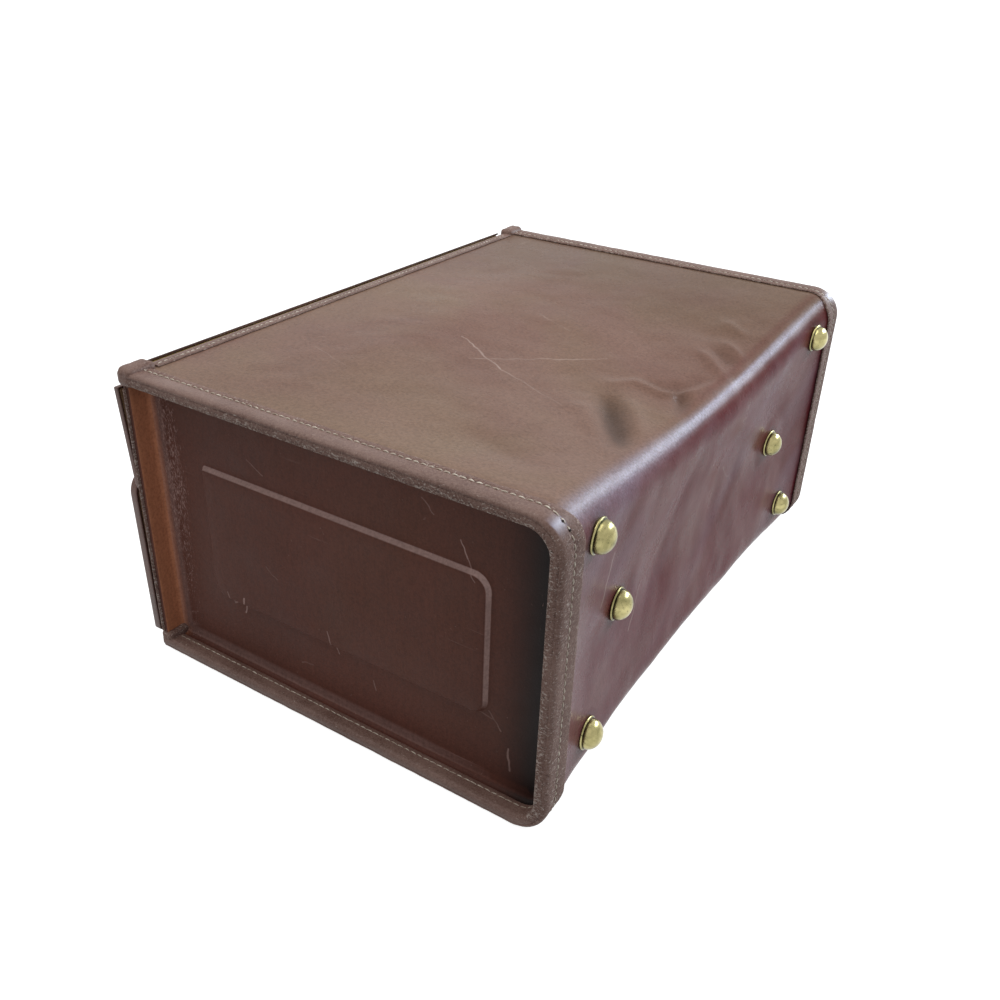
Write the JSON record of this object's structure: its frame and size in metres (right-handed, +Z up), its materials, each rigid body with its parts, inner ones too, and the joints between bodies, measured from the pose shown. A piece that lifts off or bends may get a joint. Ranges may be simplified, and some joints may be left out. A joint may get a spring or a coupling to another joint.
{
  "type": "briefcase",
  "caption": "Deep worn leather briefcase lying on its front face: domed feet on the bottom, recessed end panels, hinged lid and rear flap with locks, hasps and a handle.",
  "frame": {"origin": "on the floor, under the middle of the whole case with its lid, locks and feet; the case lies on its front face", "axes": "+Z up from the front face to the back face; +Y along the case, towards its far end; +X from the mouth with the lid to the bottom with the feet"},
  "size_m": [0.3386, 0.454, 0.208],
  "materials": {
    "body_leather": "worn brown hide with creases and a soft sheen",
    "panel_leather": "dark brown hide, scuffed",
    "strip_leather": "rubbed brown leather with fuzzy raw edges",
    "lid_leather": "worn brown hide",
    "lining_leather": "thin split leather, matt",
    "board": "grey-brown fibre board",
    "brass": "tarnished brass with green shadows",
    "steel": "dull steel strip",
    "handle_leather": "handled leather, darkened and glossy"
  },
  "bodies": {
    "case": {"body_wrap": "body_leather", "body_lining": "lining_leather", "foot_burrs": "brass", "back_hem": "strip_leather", "front_hem": "strip_leather", "back_rail": "steel", "front_rail": "steel", "lid_hinge_body_leaf": "brass", "lid_hinge_pin": "steel", "flap_hinge_body_leaf": "brass", "flap_hinge_pin": "steel", "end_panel_near": "panel_leather", "end_lining_near": "lining_leather", "edge_strip_near": "strip_leather", "mouth_strip_near": "strip_leather", "foot_back_near": "brass", "foot_middle_near": "brass", "foot_front_near": "brass", "end_panel_far": "panel_leather", "end_lining_far": "lining_leather", "edge_strip_far": "strip_leather", "mouth_strip_far": "strip_leather", "foot_back_far": "brass", "foot_middle_far": "brass", "foot_front_far": "brass"},
    "lid": {"lid_cover": "lid_leather", "lid_board": "board", "lid_lining": "lining_leather", "lid_hinge_lid_leaf": "brass", "hasp_base_near": "brass", "hasp_pin_near": "steel", "handle_bracket_near": "brass", "handle_pin_near": "steel", "hasp_base_far": "brass", "hasp_pin_far": "steel", "handle_bracket_far": "brass", "handle_pin_far": "steel"},
    "rear_flap": {"flap_cover": "lid_leather", "flap_board": "board", "flap_lining": "lining_leather", "flap_hinge_flap_leaf": "brass", "lock_body_near": "brass", "lock_body_far": "brass"},
    "handle": {"handle_grip": "handle_leather", "handle_end_near": "brass", "handle_end_far": "brass"},
    "hasp_near": {"hasp_plate_near": "brass"},
    "lock_button_near": {"lock_slide_near": "brass"},
    "hasp_far": {"hasp_plate_far": "brass"},
    "lock_button_far": {"lock_slide_far": "brass"}
  },
  "joints": [
    {"name": "lid_hinge", "type": "hinge", "parent": "case", "child": "lid", "pos_m": [-0.14575, 0, 0.0096], "axis": [0, -1, 0], "range_deg": [0, 70]},
    {"name": "rear_flap_hinge", "type": "hinge", "parent": "case", "child": "rear_flap", "pos_m": [-0.14965, 0, 0.2004], "axis": [0, 1, 0], "range_deg": [0, 90]},
    {"name": "handle_swing", "type": "hinge", "parent": "lid", "child": "handle", "pos_m": [-0.16362, 0, 0.10704], "axis": [0, 1, 0], "range_deg": [0, 160]},
    {"name": "hasp_swing_near", "type": "hinge", "parent": "lid", "child": "hasp_near", "pos_m": [-0.15981, -0.136, 0.13013], "axis": [0, -1, 0], "range_deg": [0, 100]},
    {"name": "lock_slide_near_travel", "type": "slide", "parent": "rear_flap", "child": "lock_button_near", "axis": [0, -1, 0], "range_m": [0, 0.006], "stiffness_N_per_m": 60},
    {"name": "hasp_swing_far", "type": "hinge", "parent": "lid", "child": "hasp_far", "pos_m": [-0.15981, 0.136, 0.13013], "axis": [0, -1, 0], "range_deg": [0, 100]},
    {"name": "lock_slide_far_travel", "type": "slide", "parent": "rear_flap", "child": "lock_button_far", "axis": [0, 1, 0], "range_m": [0, 0.006], "stiffness_N_per_m": 60}
  ],
  "couplings": [
    {"joint": "rear_flap_hinge", "follows": "lid_hinge", "ratio": 1.25}
  ]
}
